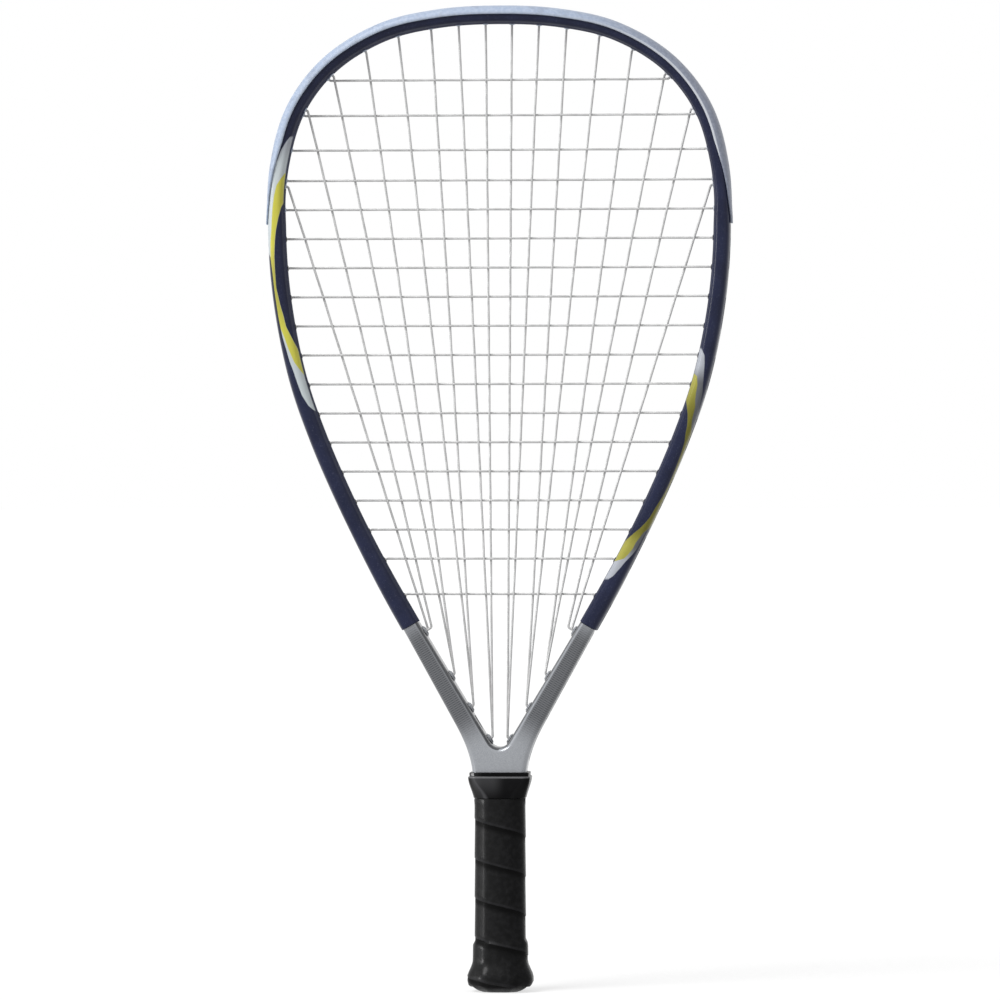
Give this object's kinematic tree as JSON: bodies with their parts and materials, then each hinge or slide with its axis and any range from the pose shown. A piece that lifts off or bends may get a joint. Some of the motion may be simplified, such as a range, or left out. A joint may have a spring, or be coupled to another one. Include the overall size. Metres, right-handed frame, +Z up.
{
  "type": "racquetball racket",
  "caption": "Strung racquetball racket: teardrop head with bumper guard, open silver throat, wound black grip and flared butt cap.",
  "frame": {"origin": "centre of the butt end's flat foot, at the bottom of the racket", "axes": "+Z up the handle to the crown of the head, X in the plane of the strings, +Y towards the back of the string bed; the front face looks along -Y"},
  "size_m": [0.2648, 0.0337, 0.5588],
  "materials": {
    "hoop_lacquer": "glossy navy lacquer with yellow and silver stripes",
    "silver_lacquer": "satin silver lacquer",
    "bumper_plastic": "pale blue, slightly satin",
    "strip_plastic": "dark, satin",
    "grommet_plastic": "whitish, translucent look",
    "string": "pale grey monofilament",
    "pallet_foam": "moulded foam",
    "grip_ribbon": "soft black ribbon",
    "collar_rubber": "smooth black",
    "cap_rubber": "satin black"
  },
  "bodies": {
    "root": {"head_hoop": "hoop_lacquer", "throat_yoke": "silver_lacquer", "bumper_guard": "bumper_plastic", "grommet_strip_left": "strip_plastic", "grommet_strip_right": "strip_plastic", "throat_grommet_left_1": "grommet_plastic", "throat_grommet_left_2": "grommet_plastic", "throat_grommet_left_3": "grommet_plastic", "throat_grommet_left_4": "grommet_plastic", "throat_grommet_right_1": "grommet_plastic", "throat_grommet_right_2": "grommet_plastic", "throat_grommet_right_3": "grommet_plastic", "throat_grommet_right_4": "grommet_plastic", "main_string": "string", "cross_string": "string", "pallet_front": "pallet_foam", "pallet_rear": "pallet_foam", "grip_wrap": "grip_ribbon", "grip_collar": "collar_rubber", "butt_cap": "cap_rubber"}
  },
  "joints": []
}
